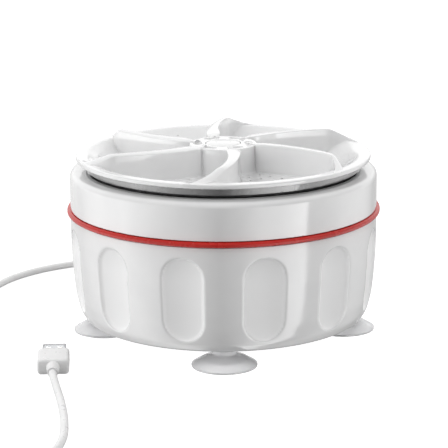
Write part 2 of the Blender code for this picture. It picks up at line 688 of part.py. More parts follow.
def along_plug(outlines):
    """A solid through outlines of (x, z) at their distances along the plug."""
    count = len(outlines[0][1])
    points = [(x, y, z) for y, outline in outlines for x, z in outline]
    faces = [tuple(range(count)), tuple(range(len(points) - count, len(points)))]
    for i in range(len(outlines) - 1):
        for k in range(count):
            n = (k + 1) % count
            faces.append((i * count + k, i * count + n, (i + 1) * count + n, (i + 1) * count + k))
    return points, faces


def scaled(outline, factor):
    return [(x * factor, z * factor) for x, z in outline]


def plug():
    """A flat plug that lies on its broad side. Its pieces follow each other along +Y from the cord."""

    def place(name, shape, material):
        return add(name, shape, material, PLUG_START, turn=PLUG_TURN)

    round_end = [around(0.0034, 30 * k)[:2] for k in range(12)]
    collar = [(0.0003, scaled(round_end, 0.78)), (0.0060, scaled(round_end, 0.95)), (0.0082, round_end)]
    place("plug_collar", along_plug(collar), "white_cord")
    body = rounded_rectangle(0.0158, 0.0078, 0.0022)
    sections = [
        (0.0085, scaled(body, 0.80)), (0.0105, scaled(body, 0.97)), (0.0125, body), (0.0275, body),
        (0.0285, scaled(body, 0.96)),
    ]
    place("plug_overmould", along_plug(sections), "white_cord")
    outer, hollow = rounded_rectangle(0.0120, 0.0045, 0.0006, 1), rounded_rectangle(0.0114, 0.0039, 0.0004, 1)
    loops = ((0.0288, outer), (0.0408, outer), (0.0408, hollow), (0.0288, hollow))
    rings = [[(x, y, z) for x, z in outline] for y, outline in loops]
    shell = place("plug_shell", swept_rings(rings), "steel")
    windows = []
    to_world = Matrix.Translation(PLUG_START) @ Matrix.Rotation(PLUG_TURN, 4, "Z")
    for k, x in enumerate((-0.00285, 0.00285)):
        window = block((x - 0.00115, 0.0338, 0.0010), (x + 0.00115, 0.0362, 0.0030))
        windows.append(helper(f"plug_window_{k}", about(window, to_world)))
    combine(shell, "DIFFERENCE", windows)
    place("plug_tongue", block((-0.0053, 0.0288, -0.0016), (0.0053, 0.0402, 0.0002)), "white_satin")
    for k in range(4):
        x = 0.0024 * (k - 1.5)
        contact = block((x - 0.0006, 0.0296, 0.00051), (x + 0.0006, 0.0388, 0.00085))
        place(f"plug_contact_{k + 1}", contact, "gold")


def main():
    clear_scene()
    impeller_axis = pivot("impeller_axis", 0, 0)
    idler_axis = pivot("idler_axis", *IDLER_XY)
    motor_axis = pivot("motor_axis", *MOTOR_XY)
    upper_casing()
    lower_casing()
    red_ring()
    casing_seal()
    base_plate()
    feet()
    impeller_body(impeller_axis)
    gearbox()
    idler_body(idler_axis)
    motor()
    motor_body(motor_axis)
    electronics()
    cable_gland()
    cord()
    cord_tie()
    plug()


main()
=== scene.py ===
"""The portable mini washer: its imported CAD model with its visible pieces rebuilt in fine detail.

Metres, +Z up, in the CAD's own frame. Most profiles are written in millimetres and scaled by MM.
"""

import json
import math

import bmesh
import bpy
from mathutils import Matrix, Vector


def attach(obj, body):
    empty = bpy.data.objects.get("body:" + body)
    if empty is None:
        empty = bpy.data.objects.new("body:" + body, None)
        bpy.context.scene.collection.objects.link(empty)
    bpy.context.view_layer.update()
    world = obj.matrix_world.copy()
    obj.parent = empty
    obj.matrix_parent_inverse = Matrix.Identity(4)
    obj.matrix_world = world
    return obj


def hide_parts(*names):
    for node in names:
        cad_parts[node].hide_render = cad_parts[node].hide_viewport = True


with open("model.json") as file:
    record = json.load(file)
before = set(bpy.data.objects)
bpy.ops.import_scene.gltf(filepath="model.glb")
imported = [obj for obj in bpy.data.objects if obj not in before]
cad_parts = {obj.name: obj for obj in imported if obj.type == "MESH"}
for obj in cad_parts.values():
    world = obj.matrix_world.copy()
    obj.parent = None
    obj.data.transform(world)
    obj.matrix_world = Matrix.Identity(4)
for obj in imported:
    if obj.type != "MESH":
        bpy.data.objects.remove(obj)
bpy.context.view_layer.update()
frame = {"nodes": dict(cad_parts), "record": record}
scene = bpy.context.scene
scene.view_settings.view_transform = "Standard"
scene.view_settings.look = "None"

MM = 0.001

# Sizes shared with the CAD source, in millimetres
BODY_RADIUS = 80.0
BLADES = 6
FLUTES = 12
CORD_RADIUS = 2.0
GLAND_HEIGHT = 22.0
CAP_RECESS_RADIUS, CAP_RECESS_HEIGHT = 9.3, 90.0

# Where the plug starts, in metres, and how far it is turned from +Y
PLUG_START = Vector((-0.0845, -0.086, 0.004))
PLUG_TURN = math.radians(3)


# ---------------------------------------------------------------- helpers


def around(radius, degrees, z=0.0):
    a = math.radians(degrees)
    return (radius * math.cos(a), radius * math.sin(a), z)


def smoothstep(low, high, x):
    t = min(1.0, max(0.0, (x - low) / (high - low)))
    return t * t * (3 - 2 * t)


def between(table, x):
    """The value at x on straight lines through the table's (x, value) pairs."""
    if x <= table[0][0]:
        return table[0][1]
    for (x0, y0), (x1, y1) in zip(table, table[1:]):
        if x <= x1:
            return y0 + (y1 - y0) * (x - x0) / (x1 - x0)
    return table[-1][1]


def rounded(corners, steps=5, closed=True):
    """A polyline whose corners (x, y, radius) are rounded. Points without a radius stay sharp."""
    line = []
    count = len(corners)
    for i, (x, y, *rest) in enumerate(corners):
        radius = rest[0] if rest else 0
        if not radius or (not closed and i in (0, count - 1)):
            line.append((x, y))
            continue
        here = Vector((x, y))
        before = Vector(corners[i - 1][:2]) - here
        after = Vector(corners[(i + 1) % count][:2]) - here
        half = before.angle(after) / 2
        cut = min(radius / math.tan(half), 0.47 * before.length, 0.47 * after.length)
        reach = cut / math.cos(half)
        centre = here + (before.normalized() + after.normalized()).normalized() * reach
        start = here + before.normalized() * cut - centre
        end = here + after.normalized() * cut - centre
        first = math.atan2(start.y, start.x)
        sweep = (math.atan2(end.y, end.x) - first + math.pi) % (2 * math.pi) - math.pi
        for k in range(steps + 1):
            a = first + sweep * k / steps
            line.append((centre.x + start.length * math.cos(a), centre.y + start.length * math.sin(a)))
    return line


def rings_mesh(rings, closed=True):
    """Points and faces of a tube through rings of equally many points.

    A closed one joins its last ring to its first. The other kind gets a face at each end.
    """
    points, faces, starts = [], [], []
    for ring in rings:
        starts.append(len(points))
        points += ring
    count = len(rings[0])
    following = starts[1:] + (starts[:1] if closed else [])
    for a, b in zip(starts, following):
        for k in range(count):
            n = (k + 1) % count
            faces.append((a + k, a + n, b + n, b + k))
    if not closed:
        faces += [tuple(starts[0] + k for k in range(count)), tuple(starts[-1] + k for k in range(count))]
    return points, faces


def lathe(profile, count=192, scale=MM):
    """A profile of (radius, z) turned about Z. Ends on the axis are closed by one point each."""
    on_axis = profile[0][0] < 1e-6 and profile[-1][0] < 1e-6
    body = profile[1:-1] if on_axis else profile
    angles = [360 * k / count for k in range(count)]
    rings = [[around(r * scale, a, z * scale) for a in angles] for r, z in body]
    points, faces = rings_mesh(rings, closed=not on_axis)
    if on_axis:
        faces = faces[:-2]
        for (_, z), first in ((profile[0], 0), (profile[-1], len(points) - count)):
            points.append((0, 0, z * scale))
            faces += [(len(points) - 1, first + k, first + (k + 1) % count) for k in range(count)]
    return points, faces


def new_object(name, points, faces):
    mesh = bpy.data.meshes.new(name)
    mesh.from_pydata([tuple(p) for p in points], [], faces)
    work = bmesh.new()
    work.from_mesh(mesh)
    bmesh.ops.recalc_face_normals(work, faces=work.faces)
    work.to_mesh(mesh)
    work.free()
    obj = bpy.data.objects.new(name, mesh)
    scene.collection.objects.link(obj)
    return obj


def cut(obj, cutters, operation="DIFFERENCE", solver="MANIFOLD"):
    """Booleans with the cutters, (points, faces) each, applied at once."""
    points, faces = [], []
    for more, sides in cutters:
        faces += [tuple(len(points) + i for i in side) for side in sides]
        points += list(more)
    tool = new_object(obj.name + "_tool", points, faces)
    modifier = obj.modifiers.new("cut", "BOOLEAN")
    modifier.operation, modifier.solver, modifier.object = operation, solver, tool
    apply_modifiers(obj)
    bpy.data.objects.remove(tool)


def apply_modifiers(obj):
    graph = bpy.context.evaluated_depsgraph_get()
    mesh = bpy.data.meshes.new_from_object(obj.evaluated_get(graph))
    obj.modifiers.clear()
    obj.data = mesh


def place(obj, matrix):
    obj.data.transform(matrix)


def show(obj, material, body="base", nodes=(), sharp=32):
    """Finishes a piece: smooth shading with creases, its material, its body and the CAD nodes it replaces."""
    if obj.type == "MESH":
        obj.data.shade_smooth()
        obj.data.set_sharp_from_angle(angle=math.radians(sharp))
    obj.data.materials.clear()
    obj.data.materials.append(material)
    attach(obj, body)
    if nodes:
        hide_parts(*nodes)


def moved(shape, matrix):
    points, faces = shape
    return [tuple(matrix @ Vector(p)) for p in points], faces


def round_bar(radius, low, high, at=(0, 0), count=16):
    """A short cylinder as (points, faces), for cutters and joined details, in metres."""
    return moved(
        lathe([(0, low), (radius, low), (radius, high), (0, high)], count, 1.0),
        Matrix.Translation((at[0], at[1], 0)),
    )


# ---------------------------------------------------------------- camera


def make_camera():
    camera = bpy.data.cameras.new("camera")
    camera.lens = 167.96
    camera.sensor_width = 36.0
    camera.clip_start, camera.clip_end = 0.05, 50
    obj = bpy.data.objects.new("camera", camera)
    scene.collection.objects.link(obj)
    place_from, aim = Vector((0, -1.0648, 0.3238)), Vector((0.0002, 0, 0.0573))
    facing = (aim - place_from).to_track_quat("-Z", "Y").to_matrix().to_4x4()
    roll = Matrix.Rotation(math.radians(-0.35), 4, "Z")
    obj.matrix_world = Matrix.Translation(place_from) @ facing @ roll
    scene.camera = obj


make_camera()


# ---------------------------------------------------------------- materials


class Nodes:
    """Short calls for building a material's or the world's nodes."""

    def __init__(self, tree):
        self.tree = tree
        tree.nodes.clear()

    def add(self, kind, **settings):
        node = self.tree.nodes.new(kind)
        for key, value in settings.items():
            setattr(node, key, value)
        return node

    def feed(self, socket, value):
        if hasattr(value, "is_output"):
            self.tree.links.new(value, socket)
        else:
            socket.default_value = value

    def math(self, operation, a, b=0.0):
        node = self.add("ShaderNodeMath", operation=operation)
        self.feed(node.inputs[0], a)
        self.feed(node.inputs[1], b)
        return node.outputs[0]

    def ramp(self, factor, stops):
        node = self.add("ShaderNodeValToRGB")
        elements = node.color_ramp.elements
        while len(elements) > 1:
            elements.remove(elements[-1])
        for k, (position, value) in enumerate(stops):
            element = elements[0] if k == 0 else elements.new(position)
            element.position = position
            element.color = (value, value, value, 1)
        self.feed(node.inputs["Fac"], factor)
        return node.outputs["Color"]

    def spread(self, value, low, high, new_low, new_high, smooth=False):
        node = self.add("ShaderNodeMapRange")
        node.interpolation_type = "SMOOTHSTEP" if smooth else "LINEAR"
        for key, number in zip(("From Min", "From Max", "To Min", "To Max"), (low, high, new_low, new_high)):
            node.inputs[key].default_value = number
        self.feed(node.inputs["Value"], value)
        return node.outputs["Result"]

    def noise(self, vector, scale, detail=3.0, rough=0.5):
        node = self.add("ShaderNodeTexNoise")
        for key, number in (("Scale", scale), ("Detail", detail), ("Roughness", rough)):
            node.inputs[key].default_value = number
        self.feed(node.inputs["Vector"], vector)
        return node.outputs["Fac"]

    def mix(self, factor, a, b, blend="MIX"):
        node = self.add("ShaderNodeMix", data_type="RGBA", blend_type=blend)
        for index, value in ((0, factor), (6, a), (7, b)):
            if isinstance(value, tuple):
                value = (*value, 1)
            self.feed(node.inputs[index], value)
        return node.outputs[2]

    def bump(self, height, strength, distance):
        node = self.add("ShaderNodeBump")
        node.inputs["Strength"].default_value = strength
        node.inputs["Distance"].default_value = distance
        self.feed(node.inputs["Height"], height)
        return node.outputs["Normal"]

    def seen(self):
        """1 for what the camera sees, also through clear pieces, and 0 for what lights a surface."""
        path = self.add("ShaderNodeLightPath").outputs
        return self.math("MAXIMUM", path["Is Camera Ray"], path["Is Transmission Ray"])


def material(name, color, second, rough, grain, bump, coat=0.0, metal=0.0, more=(), streaks=None):
    """A Principled material: its colour wanders between two close ones, its roughness and relief are noise.

    rough is (low, high), grain is how many grains fit in a metre, and bump is (strength, distance).
    """
    mat = bpy.data.materials.new(name)
    mat.use_nodes = True
    n = Nodes(mat.node_tree)
    shader = n.add("ShaderNodeBsdfPrincipled")
    output = n.add("ShaderNodeOutputMaterial")
    n.feed(output.inputs["Surface"], shader.outputs["BSDF"])
    coord = n.add("ShaderNodeTexCoord").outputs["Object"]
    if streaks:
        mapping = n.add("ShaderNodeMapping")
        mapping.inputs["Scale"].default_value = streaks
        n.feed(mapping.inputs["Vector"], coord)
        coord = mapping.outputs["Vector"]
    cloud = n.noise(coord, grain / 14, 2.0)
    n.feed(shader.inputs["Base Color"], n.mix(n.spread(cloud, 0.35, 0.65, 0, 1), color, second))
    fine = n.noise(coord, grain, 4.0, 0.6)
    n.feed(shader.inputs["Roughness"], n.spread(n.noise(coord, grain / 5, 3.0), 0.3, 0.7, *rough))
    n.feed(shader.inputs["Normal"], n.bump(fine, *bump))
    shader.inputs["Metallic"].default_value = metal
    shader.inputs["Coat Weight"].default_value = coat
    shader.inputs["Coat Roughness"].default_value = 0.04
    for key, value in more:
        shader.inputs[key].default_value = value
    mat.diffuse_color = (*color, 1)
    return mat


WHITE, WHITE_2 = (0.800, 0.800, 0.800), (0.775, 0.775, 0.778)
looks = {
    "white_gloss": material("white_gloss", WHITE, WHITE_2, (0.10, 0.17), 900, (0.04, 0.0002), 0.9),
    "white_satin": material("white_satin", WHITE, WHITE_2, (0.30, 0.42), 1400, (0.10, 0.0002)),
    "red_trim": material(
        "red_trim", (0.54, 0.010, 0.004), (0.50, 0.008, 0.004), (0.20, 0.30), 900, (0.04, 0.0002),
        more=(("Specular IOR Level", 0.30),),
    ),
    # Painted shade: a dark glossy finish for the ring that stands where the gap under the impeller's rim lies
    # in shade
    "dark_trim": material(
        "dark_trim", (0.020, 0.020, 0.021), (0.045, 0.045, 0.047), (0.08, 0.24), 420, (0.45, 0.0006), 1.0,
        more=(("IOR", 1.7),),
    ),
    "soft_clear": material(
        "soft_clear", (0.95, 0.95, 0.96), (0.92, 0.92, 0.93), (0.14, 0.24), 700, (0.06, 0.0003), 0.3,
        more=(("Transmission Weight", 0.50), ("IOR", 1.36)),
    ),
    "black_rubber": material(
        "black_rubber", (0.022, 0.022, 0.022), (0.032, 0.032, 0.032), (0.45, 0.62), 2600, (0.35, 0.0002)
    ),
    "grey_plastic": material(
        "grey_plastic", (0.36, 0.37, 0.39), (0.32, 0.33, 0.35), (0.38, 0.50), 1800, (0.20, 0.0002)
    ),
    "gear_plastic": material(
        "gear_plastic", (0.70, 0.67, 0.56), (0.64, 0.61, 0.50), (0.28, 0.38), 1500, (0.08, 0.0002)
    ),
    "steel": material(
        "steel", (0.66, 0.67, 0.69), (0.58, 0.59, 0.61), (0.18, 0.30), 2200, (0.10, 0.0001), metal=1.0,
        streaks=(1.0, 1.0, 0.06),
    ),
    "bronze": material(
        "bronze", (0.50, 0.30, 0.12), (0.42, 0.25, 0.10), (0.30, 0.45), 3200, (0.25, 0.0001), metal=1.0
    ),
    "copper": material(
        "copper", (0.62, 0.24, 0.10), (0.48, 0.17, 0.07), (0.22, 0.36), 2600, (0.5, 0.0003), metal=0.9,
        streaks=(1.0, 1.0, 7.0),
    ),
    "gold": material(
        "gold", (0.80, 0.52, 0.14), (0.72, 0.46, 0.12), (0.16, 0.26), 2000, (0.05, 0.0001), metal=1.0
    ),
    "magnet": material(
        "magnet", (0.060, 0.060, 0.065), (0.085, 0.085, 0.09), (0.40, 0.55), 2400, (0.3, 0.0002)
    ),
    "board": material(
        "board", (0.012, 0.115, 0.045), (0.008, 0.085, 0.035), (0.22, 0.36), 1600, (0.12, 0.0002)
    ),
    "black_plastic": material(
        "black_plastic", (0.020, 0.020, 0.022), (0.030, 0.030, 0.032), (0.30, 0.42), 2000, (0.15, 0.0002)
    ),
    "white_cord": material(
        "white_cord", (0.790, 0.790, 0.788), (0.760, 0.760, 0.760), (0.26, 0.36), 1500, (0.08, 0.0002)
    ),
    "wire_red": material(
        "wire_red", (0.50, 0.020, 0.015), (0.42, 0.016, 0.012), (0.34, 0.46), 1500, (0.1, 0.0002)
    ),
}
for part in frame["record"]["subparts"]:
    node = frame["nodes"][part["node"]]
    node.data.materials.clear()
    node.data.materials.append(looks[part["material_slot"]])


# ---------------------------------------------------------------- cord

# Points on the lead's centre line, in metres. Where a height is missing, the lead lies on the floor.
ROUTE_TO_COIL = [
    (0.0000, 0.0963, 0.0220), (0.0004, 0.1035, 0.0212), (-0.0006, 0.1125, 0.0186), (-0.0034, 0.1210, 0.0160),
    (-0.0078, 0.1280, 0.0148), (-0.0130, 0.1320, 0.0147),
]
FLOOR_LINE = 0.00205
ROUTE_TO_PLUG = [
    (-0.0423, 0.1375), (-0.0600, 0.1355), (-0.0840, 0.1280), (-0.1060, 0.1140), (-0.1230, 0.0930),
    (-0.1335, 0.0630), (-0.1375, 0.0250), (-0.1370, -0.0150), (-0.1345, -0.0600), (-0.1310, -0.1050),
    (-0.1275, -0.1500), (-0.1240, -0.1810), (-0.1150, -0.2020), (-0.1000, -0.2120), (-0.0850, -0.2070),
    (-0.0760, -0.1930), (-0.0730, -0.1740), (-0.0742, -0.1500), (-0.0775, -0.1250),
    (-0.0812, -0.1050, 0.0029), (-0.0841, -0.0895, 0.0039), (-0.08448, -0.0863, 0.0040),
]
COIL_CENTRE = Vector((-0.024, 0.113, 0))
COIL_INNER, COIL_OUTER = 0.022, 0.026
COIL_LAYERS = (0.0100, 0.0060, FLOOR_LINE)
COIL_TURNS = 6
COIL_START, COIL_END = 60, 95
CORD_STEP = 0.0025


def along_curve(route):
    """Points about CORD_STEP apart on a Catmull-Rom curve through the route."""
    route = [Vector(p) for p in route]
    ends = [2 * route[0] - route[1], *route, 2 * route[-1] - route[-2]]
    fine = []
    for a, b, c, d in zip(ends, ends[1:], ends[2:], ends[3:]):
        for k in range(24):
            t = k / 24
            bend, twist = 2 * a - 5 * b + 4 * c - d, 3 * b - a - 3 * c + d
            fine.append(0.5 * (2 * b + (c - a) * t + bend * t**2 + twist * t**3))
    fine.append(route[-1])
    kept = [fine[0]]
    for p in fine[1:-1]:
        if (p - kept[-1]).length >= CORD_STEP:
            kept.append(p)
    if (fine[-1] - kept[-1]).length < CORD_STEP / 2:
        kept.pop()
    return [*kept, fine[-1]]


def coil_points():
    """The coil's turns: down on to the top layer, out, in through the middle one, and out along the floor."""
    whole = 360 * COIL_TURNS + COIL_END - COIL_START
    points = []
    for turned in range(0, whole + 1, 8):
        turns = turned / 360
        height = between(
            [(0, 0.0147), (0.18, 0.0101), (1.9, COIL_LAYERS[0]), (2.1, COIL_LAYERS[1]), (3.9, COIL_LAYERS[1]),
             (4.1, COIL_LAYERS[2]), (9, COIL_LAYERS[2])],
            turns,
        )
        radius = between(
            [(0, COIL_INNER), (0.9, COIL_INNER), (1.1, COIL_OUTER), (2.9, COIL_OUTER), (3.1, COIL_INNER),
             (4.9, COIL_INNER), (5.1, COIL_OUTER), (9, COIL_OUTER)],
            turns,
        )
        x, y, _ = around(radius, COIL_START + turned)
        points.append(Vector((x, y, height)) + COIL_CENTRE)
    return points


def make_cord():
    to_plug = [(*p, FLOOR_LINE) if len(p) == 2 else p for p in ROUTE_TO_PLUG]
    centre_line = along_curve([*ROUTE_TO_COIL[:-1], *coil_points(), *to_plug])
    curve = bpy.data.curves.new("usb_lead", "CURVE")
    curve.dimensions = "3D"
    curve.bevel_depth = CORD_RADIUS * MM * 0.99  # a hair thinner, so that neighbouring turns stay apart
    curve.bevel_resolution = 5
    curve.use_fill_caps = True
    spline = curve.splines.new("POLY")
    spline.points.add(len(centre_line) - 1)
    for point, at in zip(spline.points, centre_line):
        point.co = (*at, 1.0)
    spline.use_smooth = True
    obj = bpy.data.objects.new("usb_lead", curve)
    scene.collection.objects.link(obj)
    show(obj, looks["white_cord"], nodes=("cord_to_coil", "cord_coil", "cord_to_plug"))
    return obj


lead = make_cord()


# ---------------------------------------------------------------- floor and light

FLOOR_HALF = 6

# Levels of the light tent by bearing in degrees, where 0 lies towards -Y and 90 towards +X
MIRRORED_LEVELS = [
    (-180, 0.14), (-132, 0.22), (-105, 0.52), (-83, 0.66), (-82, 0.76), (-62, 0.64), (-50, 0.52),
    (-34, 0.38), (-22, 0.33), (-3, 0.10), (12, 0.32), (27, 0.66), (43, 0.80), (64, 1.10),
    (65, 0.42), (99, 0.50), (119, 0.36), (148, 0.12), (180, 0.14),
]
HORIZON_LEVELS = [
    (-180, 0.42), (-120, 0.80), (-80, 1.0), (-50, 0.90), (-30, 0.45), (-12, 0.06), (8, 0.0), (30, 0.14),
    (55, 0.62), (85, 0.95), (130, 0.75), (180, 0.42),
]
SOFT_BOX_LEVELS = [(-180, 0), (-85, 0), (-65, 1), (-35, 1), (-15, 0), (180, 0)]


def make_floor():
    """The floor: plain white to the eye, and a dim one for the light that it sends back."""
    a = FLOOR_HALF
    mesh = bpy.data.meshes.new("floor")
    mesh.from_pydata([(-a, -a, 0), (a, -a, 0), (a, a, 0), (-a, a, 0)], [], [(0, 1, 2, 3)])
    floor = bpy.data.objects.new("floor", mesh)
    scene.collection.objects.link(floor)
    mat = bpy.data.materials.new("floor")
    mat.use_nodes = True
    n = Nodes(mat.node_tree)
    shader = n.add("ShaderNodeBsdfDiffuse")
    shader.inputs["Color"].default_value = (0.30, 0.30, 0.30, 1)
    glow = n.add("ShaderNodeEmission")
    n.feed(glow.inputs["Strength"], n.spread(n.seen(), 0, 1, 0.04, 1.0))
    both = n.add("ShaderNodeAddShader")
    n.feed(both.inputs[0], shader.outputs[0])
    n.feed(both.inputs[1], glow.outputs[0])
    output = n.add("ShaderNodeOutputMaterial")
    n.feed(output.inputs["Surface"], both.outputs[0])
    mesh.materials.append(mat)
    floor.visible_glossy = False


def make_world():
    """A light tent: strips that the gloss mirrors, soft light for the rest, and plain white to the eye."""
    world = bpy.data.worlds.new("light_tent")
    world.use_nodes = True
    scene.world = world
    n = Nodes(world.node_tree)
    direction = n.add("ShaderNodeTexCoord").outputs["Generated"]
    split = n.add("ShaderNodeSeparateXYZ")
    n.feed(split.inputs["Vector"], direction)
    x, y, z = (split.outputs[k] for k in "XYZ")
    bearing = n.math("ARCTAN2", x, n.math("MULTIPLY", y, -1.0))
    turn = n.spread(bearing, -math.pi, math.pi, 0, 1)

    def levels(table):
        return n.ramp(turn, [(0.5 + degrees / 360, float(level)) for degrees, level in table])

    low_strips = n.math("MULTIPLY", levels(MIRRORED_LEVELS), 5.0)
    above_strips = n.spread(z, 0.02, 0.20, 0, 1, smooth=True)
    overhead = n.spread(z, 0.0, 0.9, 1.25, 0.95)
    gloss = n.mix(above_strips, low_strips, overhead)

    horizon = n.math("MULTIPLY", levels(HORIZON_LEVELS), 1.6)
    zenith = n.spread(z, 0.72, 0.92, 0, 1, smooth=True)
    light = n.mix(zenith, horizon, (1.30, 1.30, 1.30))
    box_rise = n.spread(z, 0.15, 0.35, 0, 1, smooth=True)
    box_top = n.spread(z, 0.55, 0.70, 1, 0, smooth=True)
    box = n.math("MULTIPLY", n.math("MULTIPLY", box_rise, box_top), levels(SOFT_BOX_LEVELS))
    light = n.mix(1.0, light, box, "ADD")

    glossy = n.add("ShaderNodeLightPath").outputs["Is Glossy Ray"]
    shown = n.mix(n.seen(), n.mix(glossy, light, gloss), (1.0, 1.0, 1.0))
    background = n.add("ShaderNodeBackground")
    n.feed(background.inputs["Color"], shown)
    output = n.add("ShaderNodeOutputWorld")
    n.feed(output.inputs["Surface"], background.outputs[0])


make_floor()
make_world()


# ---------------------------------------------------------------- casings

# The red ring's underside and top; the casings stop a little short of them
RING_LOW, RING_HIGH = 65.2, 68.0
LOWER_TOP, UPPER_BOTTOM = 64.9, 68.3
SCOOP_LOW, SCOOP_HIGH, SCOOP_HALF, SCOOP_DEPTH = 15.2, 59.5, 10.9, 3.1


def make_upper_casing():
    r = BODY_RADIUS
    profile = rounded([
        (70.2, 87.4, 0.3), (71.4, 88.0, 0.9), (74.0, 88.0, 2.0), (r, 87.4, 5.6),
        (r, UPPER_BOTTOM, 0.35), (75.9, UPPER_BOTTOM), (75.9, 63.7), (74.5, 63.7), (74.5, 61.0),
        (75.9, 61.0), (75.9, 58.2), (73.4, 58.2), (73.4, 69.5),
        (77.5, 72.0, 1.5), (77.5, 83.0, 2.5), (73.6, 85.5, 1.0), (72.4, 84.8), (72.4, 75.0), (71.4, 74.0),
        (10.0, 74.0), (10.0, 67.0), (6.8, 67.0), (6.8, 73.0), (5.2, 73.0), (5.2, 74.0), (6.8, 74.0),
        (6.8, 79.0), (9.6, 79.0, 0.4), (10.6, 76.5, 1.0), (70.2, 76.5, 1.2),
    ], 8)
    casing = new_object("upper_casing_skin", *lathe(profile, 256))
    screws = [around(0.0524, angle)[:2] for angle in (60, 180, 300)]
    axle = (0.024, 0)
    bosses = [round_bar(0.0038, 0.0670, 0.0745, spot, 24) for spot in screws]
    bosses.append(round_bar(0.0040, 0.0663, 0.0745, axle, 24))
    holes = [round_bar(0.0018, 0.0660, 0.0752, spot) for spot in screws]
    holes.append(round_bar(0.0018, 0.0660, 0.0722, axle))
    cut(casing, bosses, "UNION")
    cut(casing, holes)
    show(casing, looks["white_gloss"], nodes=("upper_casing",))


def flute_depth(angle, z):
    """How deep the scoops are, in millimetres: a stadium with a shallow round bottom and a crisp rim."""
    sector = 360 / FLUTES
    across = math.radians(angle % sector - sector / 2) * BODY_RADIUS
    past = max(SCOOP_LOW + SCOOP_HALF - z, z - SCOOP_HIGH + SCOOP_HALF, 0)
    away = math.hypot(across, past)
    rim = smoothstep(-0.3, 1.3, SCOOP_HALF - away)
    return SCOOP_DEPTH * rim * (1 - 0.68 * min(1.0, away / SCOOP_HALF) ** 2)


def white_with_painted_light_in_scoops():
    """The casing's gloss white, satin in the scoops, where the mesh is marked for it. In the scoops its white
    is also painted lighter: painted light for how light falls in them.
    """
    mat = material(
        "white_gloss_painted_light_scoops", WHITE, WHITE_2, (0.10, 0.17), 900, (0.04, 0.0002), more=(("IOR", 1.72),)
    )
    tree = mat.node_tree
    shader = next(node for node in tree.nodes if node.type == "BSDF_PRINCIPLED")
    marked = tree.nodes.new("ShaderNodeAttribute")
    marked.attribute_name = "scoop_satin_and_painted_light"
    # In the scoops: a satin roughness, and a lighter base colour that is painted light
    for key, kind, in_scoops, (a, b, out) in (
        ("Roughness", "FLOAT", 0.55, (2, 3, 0)),
        # Painted light: the scoops' lighter white
        ("Base Color", "RGBA", (0.93, 0.93, 0.93, 1), (6, 7, 2)),
    ):
        mixer = tree.nodes.new("ShaderNodeMix")
        mixer.data_type = kind
        tree.links.new(marked.outputs["Fac"], mixer.inputs[0])
        tree.links.new(shader.inputs[key].links[0].from_socket, mixer.inputs[a])
        mixer.inputs[b].default_value = in_scoops
        tree.links.new(mixer.outputs[out], shader.inputs[key])
    return mat


def make_lower_casing():
    outer = rounded([
        (BODY_RADIUS, LOWER_TOP, 0.3), (BODY_RADIUS, 60.0), (BODY_RADIUS, 55.0, 40), (79.7, 44.0, 40),
        (78.85, 32.0, 40), (77.8, 22.5, 30), (75.9, 14.6, 14), (73.3, 10.3, 5), (71.0, 9.5, 3), (68.9, 9.5),
    ], 5, closed=False)
    inner = [
        (68.9, 12.7), (67.6, 12.7), (67.6, 15.5), (71.0, 16.0), (72.8, 24.0), (74.8, 40.0), (75.2, 57.2),
        (76.3, 57.7), (76.3, LOWER_TOP),
    ]
    row_height, columns, underside = 0.6, 48 * FLUTES, 71
    dense = [outer[0]]
    for (r0, z0), (r1, z1) in zip(outer, outer[1:]):
        parts = max(1, math.ceil(math.hypot(r1 - r0, z1 - z0) / row_height))
        dense += [(r0 + (r1 - r0) * k / parts, z0 + (z1 - z0) * k / parts) for k in range(1, parts + 1)]
    angles = [360 * k / columns for k in range(columns)]
    rings = []
    for r, z in dense:
        depths = [flute_depth(a, z) if r > underside else 0 for a in angles]
        rings.append([around((r - depth) * MM, a, z * MM) for a, depth in zip(angles, depths)])
    rings += [[around(r * MM, a, z * MM) for a in angles] for r, z in inner]
    casing = new_object("lower_casing_skin", *rings_mesh(rings))
    along_y = Matrix.Rotation(-math.pi / 2, 4, "X")
    to_gland = Matrix.Translation((0, 0, GLAND_HEIGHT * MM)) @ along_y
    cut(casing, [moved(round_bar(0.0038, 0.0660, 0.0860, count=32), to_gland)], solver="EXACT")
    skin = [(15.5, 71.6), (24.0, 73.9), (40.0, 75.7), (57.0, 76.2)]  # (height, radius) between the two sides
    # Marks the scoops, for their satin roughness and their painted light, a lighter white
    scoop_satin_and_painted_light = casing.data.attributes.new("scoop_satin_and_painted_light", "FLOAT", "POINT")
    for vertex, value in zip(casing.data.vertices, scoop_satin_and_painted_light.data):
        x, y, z = vertex.co / MM
        outside = math.hypot(x, y) > between(skin, z)
        value.value = smoothstep(0.1, 1.0, flute_depth(math.degrees(math.atan2(y, x)), z)) if outside else 0
    show(casing, white_with_painted_light_in_scoops(), nodes=("lower_casing",), sharp=50)


def make_red_ring():
    profile = rounded([
        (76.3, RING_LOW), (80.3, RING_LOW, 0.5), (81.7, RING_LOW + 0.5, 0.9),
        (81.7, RING_HIGH - 0.5, 0.9), (80.3, RING_HIGH, 0.5), (76.3, RING_HIGH),
    ], 6)
    ring = new_object("red_ring", *lathe(profile, 256))
    show(ring, looks["red_trim"], nodes=("red_trim_ring",))


make_upper_casing()
make_lower_casing()
make_red_ring()


# ---------------------------------------------------------------- impeller

SECTOR = 360 / BLADES
FIRST_BLADE = 30
POCKET_POINTS = 10

